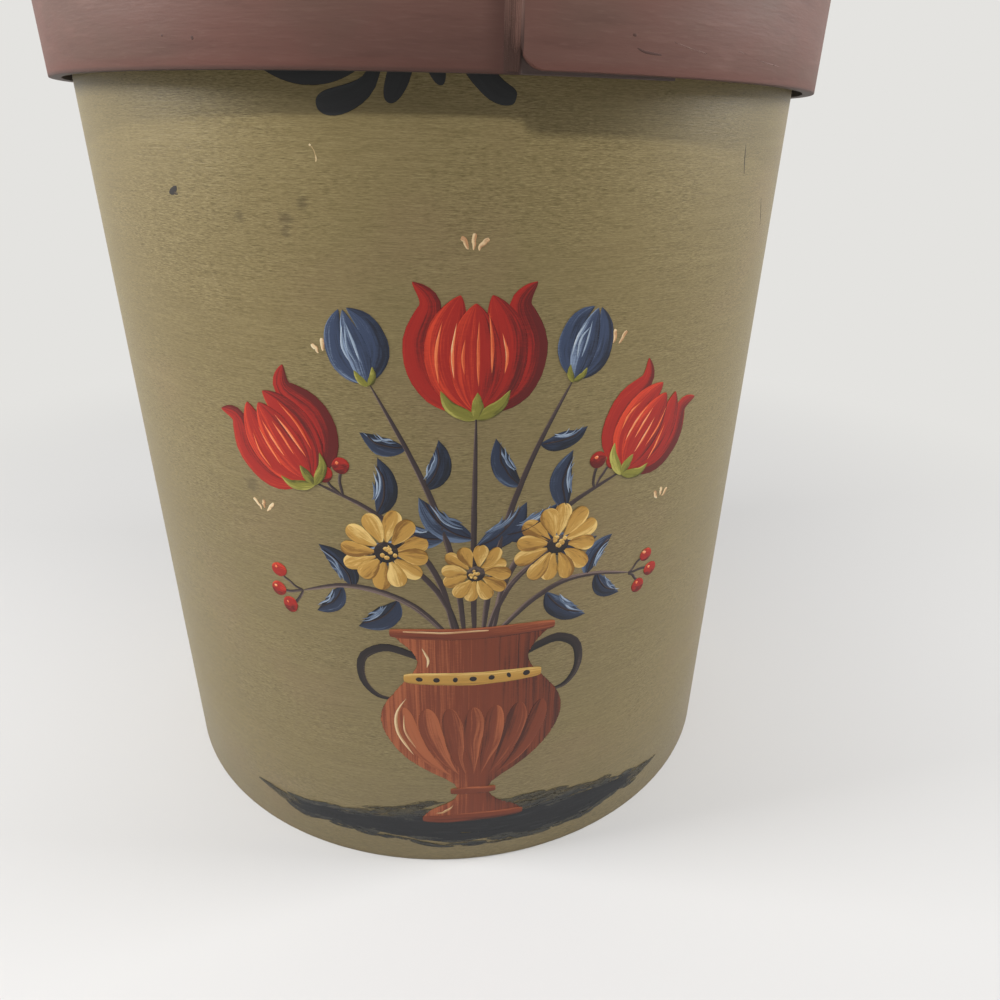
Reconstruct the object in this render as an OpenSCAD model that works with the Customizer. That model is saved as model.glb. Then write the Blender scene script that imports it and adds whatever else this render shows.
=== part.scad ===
// Round bentwood pantry box: a bent side band on a let-in bottom board, under a slip-on lid.
// Each band is one strip of wood, bent round until its ends overlap, then glued and tacked.
// The frame is +Z up, with the origin at the centre of the underside and the front towards -Y.

/* [Box] */
// Outer diameter of the side band
box_d = 204; // [150:1:320]
// Height of the side band
box_h = 254; // [120:1:400]
// Thickness of the side band
side_t = 3; // [2:0.1:5]
// Thickness of the bottom board
bottom_t = 6; // [4:0.5:12]

/* [Lid] */
// Height of the lid band
lid_h = 42; // [34:1:90]
// Thickness of the lid band
lid_band_t = 3; // [2.2:0.1:5]
// Thickness of the lid board
lid_board_t = 6; // [4:0.5:12]
// Radial play between the lid and the proudest tack head under it
lid_play = 0.65; // [0.3:0.05:3]

/* [Laps] */
// Length over which the ends of the side band overlap
side_lap = 60; // [30:1:90]
// Height of the step where the side band's outer end stops
side_lap_step = 1.2; // [0.6:0.1:2.5]
// Direction of the side band's outer end, anticlockwise from the right-hand side
side_lap_at = 76; // [-180:1:180]
// Length over which the ends of the lid band overlap
lid_lap = 35; // [20:1:70]
// Height of the step where the lid band's outer end stops
lid_lap_step = 2.6; // [0.6:0.1:3]
// Direction of the lid band's outer end, anticlockwise from the right-hand side
lid_lap_at = -82.7; // [-180:0.1:180]
// Length over which a band eases back to its circle past its inner end
lap_runout = 90; // [40:1:120]
// Radius of the rounded corners on the outer end of a lap
lap_corner_r = 5; // [1:0.1:8]
// Width of the glue line between the two layers of a lap
glue_line = 0.15; // [0.1:0.01:0.4]

/* [Tacks] */
// Tacks in the outer row of the side lap
side_tack_count = 8; // [3:1:12]
// Tacks in the outer row of the lid lap
lid_tack_count = 2; // [2:1:4]
// Distance from the end of a lap to its row of tacks
tack_inset = 7; // [4:0.5:12]
// Distance from the board or the rim to the first tack of the side lap
side_tack_edge = 10; // [7:0.5:20]
// Distance from the lower edge of the lid band to its first tack
lid_tack_low = 15; // [7:0.5:17]
// Distance from the lid board down to the last tack of the lid lap
lid_tack_top = 6; // [3:0.5:8]
// Diameter of a tack's head
tack_head_d = 4.4; // [3:0.1:7]
// Thickness of a tack's head at its crown
tack_head_t = 0.5; // [0.3:0.05:1]
// Diameter of a tack's shank
tack_shank_d = 1.2; // [0.8:0.1:2]
// Length of the point that is clinched down inside the band
tack_clinch = 3.5; // [2.5:0.1:5]

/* [Brads] */
// Brads round the edge of each board
brad_count = 8; // [4:1:14]
// Diameter of a brad
brad_d = 1.2; // [0.8:0.1:2]
// Length of a brad
brad_l = 16; // [10:1:25]
// Depth of a brad's end below the face of its band, filled and painted over
brad_set = 0.7; // [0.3:0.1:1.5]

/* [Fits] */
// Gap between a board and the band round it
board_fit = 0.1; // [0.05:0.05:0.3]
// Gap round a driven tack or brad, and under a tack's head
drive_fit = 0.05; // [0.02:0.01:0.1]
// Gap between the rim and the lid board that rests on it
rim_fit = 0.1; // [0.05:0.05:0.5]

/* [Hidden] */

$fn = 96;
cut = 2;             // how far a cutting shape runs past what it cuts
wedge_margin = 6;    // degrees that a lap's surfaces run on past where they meet the circle
glue_margin = 1.5;   // degrees that the glue line runs on past the inner end, into the open

olive_paint = [0.55, 0.49, 0.35];
rose_paint = [0.49, 0.37, 0.34];
bare_wood = [0.72, 0.58, 0.40];
steel = [0.45, 0.43, 0.41];

// The side band's own circle, and the lid band's, which clears the side lap and its tack heads
side_r = box_d / 2;
lid_r = side_r + side_lap_step + drive_fit + tack_head_t + lid_play + lid_band_t;
lid_z = box_h + rim_fit + lid_board_t - lid_h;

// Each strip's outer radius, thickness, height, overlap and step
side_strip = [side_r, side_t, box_h, side_lap, side_lap_step];
lid_strip = [lid_r, lid_band_t, lid_h, lid_lap, lid_lap_step];
function outer_r(strip) = strip[0];
function inner_r(strip) = strip[0] - strip[1];
function height(strip) = strip[2];
function overlap(strip) = strip[3];
function step(strip) = strip[4];
function reach(strip) = outer_r(strip) + step(strip);

// Rows of tacks, as heights above the lower edge of their band
side_tack_z = spread(bottom_t + side_tack_edge, box_h - side_tack_edge, side_tack_count);
lid_tack_z = spread(lid_tack_low, lid_h - lid_board_t - lid_tack_top, lid_tack_count);

// Numbers spread evenly from one value to another
function spread(from, to, count) = [for (i = [0 : count - 1]) from + (to - from) * i / (count - 1)];

// The heights half way between those of a row, for the next row
function between(row) = [for (i = [0 : len(row) - 2]) (row[i] + row[i + 1]) / 2];

function polar(r, angle) = r * [cos(angle), sin(angle)];
function arc_angle(length, r) = length / r * 180 / PI;

// A ramp is an arc struck from a centre off to one side, so that it runs from radius r0 at
// angle a0 to radius r1 at angle a1. It is kept as [centre, radius].
function ramp(r0, a0, r1, a1) =
  let (centre = polar((r0 - r1) / (2 * sin((a1 - a0) / 2)), (a0 + a1) / 2 - 90))
  [centre, norm(polar(r0, a0) - centre)];

// Distance from the band's axis to a ramp, looking out at an angle
function ramp_reach(arc, angle) =
  let (along = arc[0] * polar(1, angle))
  along + sqrt(along * along - arc[0] * arc[0] + arc[1] * arc[1]);

// Along a strip, anticlockwise from its outer end at angle 0: where the inner end stops under
// the outer layer, and where the strip is back on its circle
function lap_end(strip) = arc_angle(overlap(strip), outer_r(strip));
function ease_end(strip) = arc_angle(overlap(strip) + lap_runout, outer_r(strip));

// How far the strip stands off its circle where it runs on past the inner end. The inner end is
// feathered to fill that, less the glue, so the strip keeps its thickness there.
function stand_off(strip) = step(strip) * lap_runout / (overlap(strip) + lap_runout);

// The lap's faces: the outside, the joint between the layers, and the inside past the inner end
function outer_face(strip) = ramp(reach(strip), 0, outer_r(strip), ease_end(strip));
function glue_face(strip) =
  ramp(outer_r(strip), 0, inner_r(strip) + stand_off(strip) - glue_line, lap_end(strip));
function inner_face(strip) =
  ramp(inner_r(strip) + stand_off(strip), lap_end(strip), inner_r(strip), ease_end(strip));

// Distance from the axis to the outside of a strip at an angle
function face_at(strip, angle) =
  angle < ease_end(strip) ? ramp_reach(outer_face(strip), angle) : outer_r(strip);

// A sector of a disc that reaches past the strip, over the height h
module wedge(strip, from, to, h) {
  steps = 8;
  tip_r = (reach(strip) + cut) / cos((to - from) / steps / 2);
  translate([0, 0, -cut]) linear_extrude(h + 2 * cut)
    polygon(concat([[0, 0]], [for (i = [0 : steps]) polar(tip_r, from + (to - from) * i / steps)]));
}

// A drum on a ramp's centre, run past both ends where it is used to cut
module drum(arc, h, grow = 0, past = 0) {
  translate([arc[0][0], arc[0][1], -past]) cylinder(r = arc[1] + grow, h = h + 2 * past);
}

// The two corners cut off the end of the outer layer, down to the joint between the layers
module lap_corner_cuts(strip) {
  difference() {
    for (top = [0, 1])
      translate([0, 0, top * height(strip)]) mirror([0, 0, top])
        rotate([90, 0, 90]) linear_extrude(reach(strip) + cut)
          difference() {
            translate([-cut, -cut]) square(lap_corner_r + cut);
            translate([lap_corner_r, lap_corner_r]) circle(lap_corner_r);
          }
    drum(glue_face(strip), height(strip), past = 2 * cut);
  }
}

// One bent strip, with its scarfed ends lapped at angle 0
module bent_band(strip) {
  h = height(strip);
  difference() {
    union() {
      cylinder(r = outer_r(strip), h = h);
      intersection() {
        drum(outer_face(strip), h);
        wedge(strip, 0, ease_end(strip) + wedge_margin, h);
      }
    }
    translate([0, 0, -cut]) cylinder(r = inner_r(strip), h = h + 2 * cut);
    intersection() {
      drum(inner_face(strip), h, past = cut);
      wedge(strip, lap_end(strip), ease_end(strip) + wedge_margin, h);
    }
    intersection() {
      difference() {
        drum(glue_face(strip), h, grow = glue_line, past = cut);
        drum(glue_face(strip), h, past = 2 * cut);
      }
      wedge(strip, -wedge_margin, lap_end(strip) + glue_margin, h);
    }
    lap_corner_cuts(strip);
  }
}

// A round board cut to the inside of a strip, past its inner end too
module let_in_board(strip, h) {
  shoulder = lap_end(strip) + arc_angle(board_fit, inner_r(strip));
  cylinder(r = inner_r(strip) - board_fit, h = h);
  intersection() {
    drum(inner_face(strip), h, grow = -board_fit);
    wedge(strip, shoulder, ease_end(strip) + wedge_margin, h);
  }
}

// A tack driven along -X from its seat at x = 0, through a thickness of grip, and clinched down
module tack(grip) {
  crown_r = (tack_head_d * tack_head_d / 4 + tack_head_t * tack_head_t) / (2 * tack_head_t);
  bend_x = -grip - drive_fit - tack_shank_d / 2;
  point = tack_clinch / 3;
  translate([drive_fit, 0, 0]) rotate([0, 90, 0]) intersection() {
    cylinder(d = tack_head_d, h = tack_head_t);
    translate([0, 0, tack_head_t - crown_r]) sphere(crown_r);
  }
  translate([bend_x, 0, 0]) {
    rotate([0, 90, 0]) cylinder(d = tack_shank_d, h = drive_fit - bend_x);
    sphere(d = tack_shank_d);
    translate([0, 0, point - tack_clinch]) cylinder(d = tack_shank_d, h = tack_clinch - point);
    translate([0, 0, -tack_clinch]) cylinder(d1 = tack_shank_d / 3, d2 = tack_shank_d, h = point);
  }
}

// Where the tacks of a lap go, as [angle, height]: one row by each end of the overlap
function tack_places(strip, row) = concat(
  [for (z = row) [arc_angle(tack_inset, outer_r(strip)), z]],
  [for (z = between(row)) [arc_angle(overlap(strip) - tack_inset, outer_r(strip)), z]]
);

module lap_tacks(strip, row) {
  for (place = tack_places(strip, row)) {
    seat = face_at(strip, place[0]);
    rotate(place[0]) translate([seat, 0, place[1]]) tack(seat - inner_r(strip));
  }
}

module tack_holes(strip, row) {
  for (place = tack_places(strip, row))
    rotate(place[0]) translate([inner_r(strip) - cut, 0, place[1]]) rotate([0, 90, 0])
      cylinder(d = tack_shank_d + 2 * drive_fit, h = reach(strip) - inner_r(strip) + 2 * cut);
}

// Headless brads, driven in through a strip and set below its face, with the lap between two
module brads(strip, z, fit = 0) {
  first = (lap_end(strip) + 360 / brad_count) / 2;
  for (i = [0 : brad_count - 1]) {
    turn = (first + i * 360 / brad_count) % 360;
    rotate(turn) translate([face_at(strip, turn) - brad_set - brad_l - fit, 0, z])
      rotate([0, 90, 0]) cylinder(d = brad_d + 2 * fit, h = brad_l + 2 * fit);
  }
}

module side_band() {
  color(olive_paint) rotate(side_lap_at) difference() {
    bent_band(side_strip);
    tack_holes(side_strip, side_tack_z);
    brads(side_strip, bottom_t / 2, drive_fit);
  }
}

module bottom_board() {
  color(bare_wood) rotate(side_lap_at) difference() {
    let_in_board(side_strip, bottom_t);
    brads(side_strip, bottom_t / 2, drive_fit);
  }
}

module side_lap_tacks() {
  color(steel) rotate(side_lap_at) lap_tacks(side_strip, side_tack_z);
}

module bottom_brads() {
  color(steel) rotate(side_lap_at) brads(side_strip, bottom_t / 2);
}

// Places a piece of the lid, drawn with the lid band's lower edge at z = 0
module on_box() {
  translate([0, 0, lid_z]) rotate(lid_lap_at) children();
}

module lid_band() {
  color(rose_paint) on_box() difference() {
    bent_band(lid_strip);
    tack_holes(lid_strip, lid_tack_z);
    brads(lid_strip, lid_h - lid_board_t / 2, drive_fit);
  }
}

module lid_board() {
  color(rose_paint) on_box() difference() {
    translate([0, 0, lid_h - lid_board_t]) let_in_board(lid_strip, lid_board_t);
    brads(lid_strip, lid_h - lid_board_t / 2, drive_fit);
  }
}

module lid_lap_tacks() {
  color(steel) on_box() lap_tacks(lid_strip, lid_tack_z);
}

module lid_brads() {
  color(steel) on_box() brads(lid_strip, lid_h - lid_board_t / 2);
}

side_band();
bottom_board();
side_lap_tacks();
bottom_brads();
lid_band();
lid_board();
lid_lap_tacks();
lid_brads();
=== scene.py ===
import math
import random

import bmesh
import bpy
from mathutils import Matrix, Vector


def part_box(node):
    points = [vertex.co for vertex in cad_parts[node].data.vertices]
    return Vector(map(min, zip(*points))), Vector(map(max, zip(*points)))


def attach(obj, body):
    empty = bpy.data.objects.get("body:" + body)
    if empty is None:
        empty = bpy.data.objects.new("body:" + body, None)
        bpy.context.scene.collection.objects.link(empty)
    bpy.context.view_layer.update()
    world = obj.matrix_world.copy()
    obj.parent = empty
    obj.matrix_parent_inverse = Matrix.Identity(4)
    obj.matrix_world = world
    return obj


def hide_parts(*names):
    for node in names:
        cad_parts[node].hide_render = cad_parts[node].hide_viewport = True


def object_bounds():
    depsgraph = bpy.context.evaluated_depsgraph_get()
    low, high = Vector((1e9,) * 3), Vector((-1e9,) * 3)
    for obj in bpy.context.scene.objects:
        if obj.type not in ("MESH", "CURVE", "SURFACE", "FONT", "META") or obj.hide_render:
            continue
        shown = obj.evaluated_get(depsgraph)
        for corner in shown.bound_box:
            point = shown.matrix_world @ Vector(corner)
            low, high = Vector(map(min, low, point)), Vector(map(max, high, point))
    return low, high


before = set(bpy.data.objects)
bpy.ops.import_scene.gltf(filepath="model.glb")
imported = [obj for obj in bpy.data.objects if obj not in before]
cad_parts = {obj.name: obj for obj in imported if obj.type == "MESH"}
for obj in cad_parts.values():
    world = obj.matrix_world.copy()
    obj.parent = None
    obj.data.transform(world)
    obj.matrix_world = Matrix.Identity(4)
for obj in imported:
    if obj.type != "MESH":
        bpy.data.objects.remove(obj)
cad_low, cad_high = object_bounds()


# Side band
# One strip of thin wood, steamed and bent round until its ends overlap at the back, where both
# are scarfed and glued. Outside it has a thin matte olive paint that the grain shows through.
MM = 0.001
side_radius = 102 * MM
band_thickness = 3 * MM
side_overlap, side_step = 60 * MM, 1.2 * MM
side_end_at = math.radians(76)
side_foot, side_rim = (corner.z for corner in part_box("side_band"))


class Wire:
    """One output of a node. Sums written on it add Math nodes to its tree."""

    def __init__(self, tree, socket=None):
        self.tree = tree
        self.socket = socket

    def node(self, kind, settings=None, sockets=None, out=0):
        made = self.tree.nodes.new(kind)
        for name, value in (settings or {}).items():
            setattr(made, name, value)
        for name, value in (sockets or {}).items():
            if isinstance(value, Wire):
                self.tree.links.new(value.socket, made.inputs[name])
            else:
                made.inputs[name].default_value = value
        return Wire(self.tree, made.outputs[out])

    def out(self, name):
        return Wire(self.tree, self.socket.node.outputs[name])

    def math(self, operation, *values):
        return self.node("ShaderNodeMath", {"operation": operation}, dict(enumerate(values)))

    def __add__(self, other):
        return self.math("ADD", self, other)

    def __radd__(self, other):
        return self.math("ADD", other, self)

    def __sub__(self, other):
        return self.math("SUBTRACT", self, other)

    def __rsub__(self, other):
        return self.math("SUBTRACT", other, self)

    def __mul__(self, other):
        return self.math("MULTIPLY", self, other)

    def __rmul__(self, other):
        return self.math("MULTIPLY", other, self)

    def __truediv__(self, other):
        return self.math("DIVIDE", self, other)

    def __rtruediv__(self, other):
        return self.math("DIVIDE", other, self)

    def __pow__(self, other):
        return self.math("POWER", self, other)

    def __lt__(self, other):
        return self.math("LESS_THAN", self, other)

    def __gt__(self, other):
        return self.math("GREATER_THAN", self, other)

    def clip(self):
        return self.node("ShaderNodeClamp", {}, {"Value": self})

    def fade(self, start, end):
        """0 before start, 1 past end, and smooth between them."""
        ends = {"Value": self, "From Min": start, "From Max": end}
        return self.node("ShaderNodeMapRange", {"interpolation_type": "SMOOTHSTEP"}, ends)

    def tint(self, under, over):
        """One colour over another, where this value is the mask."""
        return self.node("ShaderNodeMix", {"data_type": "RGBA"}, {0: self, 6: under, 7: over}, out=2)


def layered(colour, *coats):
    """A colour with coats laid over it in turn, each a mask and its own colour."""
    for mask, coat in coats:
        colour = mask.tint(colour, coat)
    return colour


def srgb(red, green, blue):
    """A colour as it looks on a screen, 0 to 255, as the linear colour that a shader takes."""
    parts = [value / 255 for value in (red, green, blue)]
    linear = [p / 12.92 if p <= 0.04045 else ((p + 0.055) / 1.055) ** 2.4 for p in parts]
    return (*linear, 1.0)


def new_finish(name):
    """A material, its main shader and a wire to start from."""
    finish = bpy.data.materials.new(name)
    finish.use_nodes = True
    return finish, finish.node_tree.nodes["Principled BSDF"], Wire(finish.node_tree)


def put_on(shader, **sockets):
    """Links each wire to the shader's socket of that name, or sets it there."""
    for name, value in sockets.items():
        socket = shader.inputs[name.replace("_", " ")]
        if isinstance(value, Wire):
            value.tree.links.new(value.socket, socket)
        else:
            socket.default_value = value


def place_on(start):
    """The place on the piece, in the frame's own metres."""
    return start.node("ShaderNodeTexCoord").out("Object")


def height_on(start):
    return start.node("ShaderNodeSeparateXYZ", {}, {"Vector": place_on(start)}).out("Z")


def streaks(start, scale, stretch, detail=3.0, roughness=0.55, shift=0.0):
    """Noise in the piece's own coordinates, drawn out along the axes that are stretched least."""
    mapping = {"Vector": place_on(start), "Scale": stretch, "Location": (shift, shift, shift)}
    drawn_out = start.node("ShaderNodeMapping", {}, mapping)
    noise = {"Vector": drawn_out, "Scale": scale, "Detail": detail, "Roughness": roughness}
    return start.node("ShaderNodeTexNoise", {}, noise)


def specks(start, spacing, size, share, shift=0.0):
    """A mask of small round marks, on about this share of the places where one could be."""
    mapping = {"Vector": place_on(start), "Location": (shift, shift, shift)}
    mapped = start.node("ShaderNodeMapping", {}, mapping)
    cells = start.node("ShaderNodeTexVoronoi", {}, {"Vector": mapped, "Scale": 1 / spacing})
    chosen = start.node("ShaderNodeSeparateColor", {}, {"Color": cells.out("Color")}) < share
    return cells.out("Distance").fade(size / spacing, 0.4 * size / spacing) * chosen


def bumps(start, height, strength, depth):
    return start.node("ShaderNodeBump", {}, {"Height": height, "Strength": strength, "Distance": depth})


def bare_wood(name, pale, dark, stretch, shade_up_to=None, painted_shade=None):
    """Dry unpainted wood, with the grain along the axis that is stretched least. Painted shade may
    darken it from its lower edge up to a height."""
    finish, shader, start = new_finish(name)
    figure = streaks(start, 30, stretch, detail=5.0, roughness=0.6)
    pores = streaks(start, 140, stretch, detail=2.0, shift=3.0).fade(0.56, 0.72)
    stain = streaks(start, 14, (1, 1, 1), detail=3.0, shift=7.0).fade(0.45, 0.75)
    colour = layered(
        pale, (figure.fade(0.3, 0.7), dark),
        (0.5 * pores, srgb(84, 60, 36)), (0.35 * stain, srgb(112, 84, 52)),
    )
    if painted_shade:
        ragged = height_on(start) + 6 * MM * (figure - 0.5) + 4 * MM * (stain - 0.5)
        colour = ragged.fade(shade_up_to, shade_up_to - 2 * MM).tint(colour, painted_shade)
    put_on(
        shader, Base_Color=colour, Roughness=0.62 + 0.2 * figure,
        Normal=bumps(start, figure - 0.6 * pores, 0.35, 0.25 * MM),
    )
    return finish


def on_side(arc, height):
    """The place on the side band at this arc to the right of the front, and height, both in mm."""
    turn = arc * MM / side_radius
    return (side_radius * math.sin(turn), -side_radius * math.cos(turn), height * MM)


round_the_band = (1, 1, 24)
inside_wood = bare_wood("band_wood", srgb(196, 166, 122), srgb(166, 132, 88), round_the_band)

olive_body, olive_light, olive_dark = srgb(132, 116, 75), srgb(158, 142, 99), srgb(99, 85, 49)
paint_sheen = 0.5
# Each smudge in the paint has an arc, a height and a reach, in mm.
soft_smudges = [
    (-33.8, 191.3, 2.3), (-34.1, 188.7, 1.5), (-29.7, 194.5, 1.9), (-45.2, 191.4, 1.8), (-52.0, 126.8, 3.0),
]
lid_rub_from, lid_rub_to = 219 * MM, 226 * MM


def wood_flecks(start):
    """The short fine flecks of the band's grain, which show through every coat of paint on it."""
    return streaks(start, 700, (1, 1, 9), detail=3.0, roughness=0.65, shift=5.0)


olive_paint, shader, start = new_finish("olive_paint")
grain = streaks(start, 120, (1, 1, 28), detail=3.0, roughness=0.6)
flecks = wood_flecks(start)
brush_marks = streaks(start, 12, (1, 1, 26), detail=3.0, shift=5.0)
mottle = streaks(start, 16, (1, 1, 1.6), detail=4.0, shift=2.0)
warm_patches = streaks(start, 26, (1, 1, 1.2), detail=2.0, shift=9.0)
open_grain = 0.44 + 0.42 * streaks(start, 30, (1, 1, 1.4), detail=2.0, shift=12.0).fade(0.4, 0.62)
smudges = []
for arc, height, reach in soft_smudges:
    gap = {0: place_on(start), 1: on_side(arc, height)}
    distance = start.node("ShaderNodeVectorMath", {"operation": "DISTANCE"}, gap, out="Value")
    ragged = distance + 3 * MM * (flecks - 0.5) + 2 * MM * (grain - 0.5)
    smudges.append((0.4 * ragged.fade(reach * MM, 0.2 * reach * MM), srgb(68, 56, 37)))
under_lid = height_on(start).fade(lid_rub_from, lid_rub_to)
scuffs = streaks(start, 160, (1, 1, 0.06), detail=3.0, shift=4.0).fade(0.5, 0.72)
worn_rim = height_on(start).fade(side_rim - 1.6 * MM, side_rim) * mottle.fade(0.38, 0.56)
foot_rub = height_on(start).fade(side_foot + 1.8 * MM, side_foot) * grain.fade(0.42, 0.6)
colour = layered(
    olive_body,
    (0.5 * mottle.fade(0.35, 0.7), srgb(123, 108, 71)),
    (0.4 * warm_patches.fade(0.5, 0.7), srgb(138, 116, 82)),
    (0.36 * grain.fade(0.5, 0.7), olive_light),
    (0.42 * grain.fade(0.48, 0.28), olive_dark),
    (0.9 * open_grain * flecks.fade(0.5, 0.66), olive_light),
    (1.1 * open_grain * flecks.fade(0.48, 0.32), olive_dark),
    (0.2 * brush_marks.fade(0.5, 0.8), olive_light),
    (0.8 * specks(start, 22 * MM, 0.6 * MM, 0.25), srgb(52, 44, 32)),
    *smudges,
    (0.55 * scuffs * under_lid, srgb(176, 158, 118)),
    (worn_rim, srgb(182, 152, 106)),
    (0.7 * foot_rub, srgb(114, 94, 62)),
)
put_on(
    shader, Base_Color=colour, Roughness=0.36 + 0.16 * grain, Specular_IOR_Level=paint_sheen,
    Normal=bumps(start, 0.6 * grain + flecks + 0.3 * brush_marks, 0.35, 0.1 * MM),
)


def new_tree(name, inputs):
    """A Geometry Nodes tree with these named inputs and one geometry output, and its input node."""
    tree = bpy.data.node_groups.new(name, "GeometryNodeTree")
    for label, kind in inputs.items():
        tree.interface.new_socket(label, in_out="INPUT", socket_type="NodeSocket" + kind)
    tree.interface.new_socket("Geometry", in_out="OUTPUT", socket_type="NodeSocketGeometry")
    return tree, Wire(tree).node("NodeGroupInput")


def keep(geometry, **values):
    """The geometry, with each value kept on its points under the given name."""
    for name, value in values.items():
        sockets = {"Geometry": geometry, "Name": name, "Value": value}
        geometry = geometry.node("GeometryNodeStoreNamedAttribute", {"data_type": "FLOAT"}, sockets)
    return geometry


def kept(given, name):
    return given.node("GeometryNodeInputNamedAttribute", {"data_type": "FLOAT"}, {"Name": name})


def moved(geometry, x, y, z):
    place = geometry.node("ShaderNodeCombineXYZ", {}, {"X": x, "Y": y, "Z": z})
    return geometry.node("GeometryNodeSetPosition", {}, {"Geometry": geometry, "Position": place})


def ring_of(given, count, **values):
    """A closed curve of this many points, which keep these values. They may read a point's index."""
    points = keep(given.node("GeometryNodeMeshLine", {}, {"Count": count}), **values)
    curve = given.node("GeometryNodeMeshToCurve", {}, {"Mesh": points})
    return given.node("GeometryNodeSetSplineCyclic", {}, {"Geometry": curve, "Cyclic": True})


def swept(path, section):
    sockets = {"Curve": path, "Profile Curve": section, "Fill Caps": True}
    return path.node("GeometryNodeCurveToMesh", {}, sockets)


def end_tree(geometry, *coats):
    """Ends a tree with Realize Instances, then Set Material for each coat and where it goes."""
    geometry = geometry.node("GeometryNodeRealizeInstances", {}, {"Geometry": geometry})
    for material, where in coats:
        sockets = {"Geometry": geometry, "Selection": where, "Material": material}
        geometry = geometry.node("GeometryNodeSetMaterial", {}, sockets)
    ending = geometry.tree.nodes.new("NodeGroupOutput")
    geometry.tree.links.new(geometry.socket, ending.inputs["Geometry"])


# The strip as it is bent: stations run from its outer end, over the lap, round the circle and
# under the lap again to its inner end. Each face has its own distance from the box's axis.
bent_strip, given = new_tree("bent_strip", {
    "Outer radius": "Float", "Thickness": "Float", "Height": "Float", "Foot": "Float",
    "Overlap": "Float", "Step": "Float", "Run-out": "Float", "Glue line": "Float",
    "Corner radius": "Float", "Outer end at": "Float", "Skew": "Float", "Skew run": "Float",
    "Stations": "Int", "Rows": "Int", "Paint": "Material", "Wood": "Material",
})
size = given.out
index, rows = given.node("GeometryNodeInputIndex"), size("Rows")
on_outside = index < rows + 0.5
level = on_outside * (index / rows) + (1 - on_outside) * ((2 * rows + 1 - index) / rows)
section = ring_of(given, 2 * rows + 2, outside=on_outside, level=level)
line = given.node("GeometryNodeCurvePrimitiveLine", {}, {"End": (1.0, 0.0, 0.0)})
path = given.node("GeometryNodeResampleCurve", {}, {"Curve": line, "Count": size("Stations")})
strip = swept(keep(path, along=given.node("GeometryNodeSplineParameter")), section)

full_turn = 2 * math.pi
end_crowding = 0.9
lap_turn = size("Overlap") / size("Outer radius")
ease_turn = (size("Overlap") + size("Run-out")) / size("Outer radius")
along = kept(given, "along")
crowded = along - end_crowding / full_turn * given.math("SINE", full_turn * along)
turn = crowded * (full_turn + lap_turn)
stand_off = size("Step") * size("Run-out") / (size("Overlap") + size("Run-out"))
scarf = size("Thickness") - stand_off + size("Glue line")
outer_face = (
    size("Outer radius") + size("Step") * (1 - (turn / ease_turn).clip())
    - scarf * ((turn - full_turn) / lap_turn).clip()
)
inner_face = (
    size("Outer radius") - size("Thickness")
    + stand_off * (1 - ((turn - lap_turn) / (ease_turn - lap_turn)).clip())
    + scarf * (1 - (turn / lap_turn).clip())
)
corner = (1 - turn * size("Outer radius") / size("Corner radius")).clip()
inset = size("Corner radius") * (1 - (1 - corner * corner) ** 0.5)
skew_turn = size("Skew run") / size("Outer radius")
raised = inset + size("Skew") * (1 - (turn / skew_turn).clip())
on_outside, level = kept(given, "outside"), kept(given, "level")
radius = inner_face + (outer_face - inner_face) * on_outside
angle = turn + size("Outer end at")
strip = moved(
    strip, radius * given.math("COSINE", angle), radius * given.math("SINE", angle),
    size("Foot") + raised + (size("Height") - raised - inset) * level,
)
# A face along an edge is half on the outside, so it keeps the paint.
end_tree(strip, (size("Paint"), True), (size("Wood"), on_outside < 0.25))


def shaped(name, tree, sizes, start_mesh=None, eased=0.0):
    """One piece from a tree: its sizes go in by name, and the result becomes a plain mesh."""
    piece = bpy.data.objects.new(name, start_mesh or bpy.data.meshes.new(name))
    bpy.context.scene.collection.objects.link(piece)
    shape = piece.modifiers.new("shape", "NODES")
    shape.node_group = tree
    for item in tree.interface.items_tree:
        if item.in_out == "INPUT" and item.name in sizes:
            shape[item.identifier] = sizes[item.name]
    if eased:
        edges = piece.modifiers.new("eased edges", "BEVEL")
        edges.width, edges.segments = eased, 2
        edges.limit_method, edges.angle_limit = "ANGLE", math.radians(40)
    evaluated = piece.evaluated_get(bpy.context.evaluated_depsgraph_get())
    finished = bpy.data.meshes.new_from_object(evaluated)
    piece.modifiers.clear()
    piece.data = finished
    mesh = bmesh.new()
    mesh.from_mesh(finished)
    bmesh.ops.recalc_face_normals(mesh, faces=mesh.faces)
    mesh.to_mesh(finished)
    mesh.free()
    finished.shade_smooth()
    finished.set_sharp_from_angle(angle=math.radians(35))
    return piece


lap_run_out = 90 * MM
lap_sizes = {"Run-out": lap_run_out, "Glue line": 0.15 * MM, "Corner radius": 5 * MM}
side_band = shaped("side_band_painted", bent_strip, {
    **lap_sizes, "Outer radius": side_radius, "Thickness": band_thickness,
    "Height": side_rim - side_foot, "Foot": side_foot,
    "Overlap": side_overlap, "Step": side_step, "Outer end at": side_end_at,
    "Skew": 0.0, "Skew run": side_overlap,
    "Stations": 420, "Rows": 6, "Paint": olive_paint, "Wood": inside_wood,
}, eased=0.5 * MM)
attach(side_band, "box")
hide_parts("side_band")


# Bottom board
# A round board of straight-grained wood, let into the foot of the side band and held there by
# headless brads driven in through the band. It was never painted.
board_wood = bare_wood("board_wood", srgb(188, 156, 110), srgb(150, 116, 74), (1, 18, 18))


def refinish(node, finish):
    """Gives a CAD piece its finish, in place of the plain one that it came with."""
    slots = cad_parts[node].data.materials
    slots.clear()
    slots.append(finish)


refinish("bottom_board", board_wood)


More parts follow.
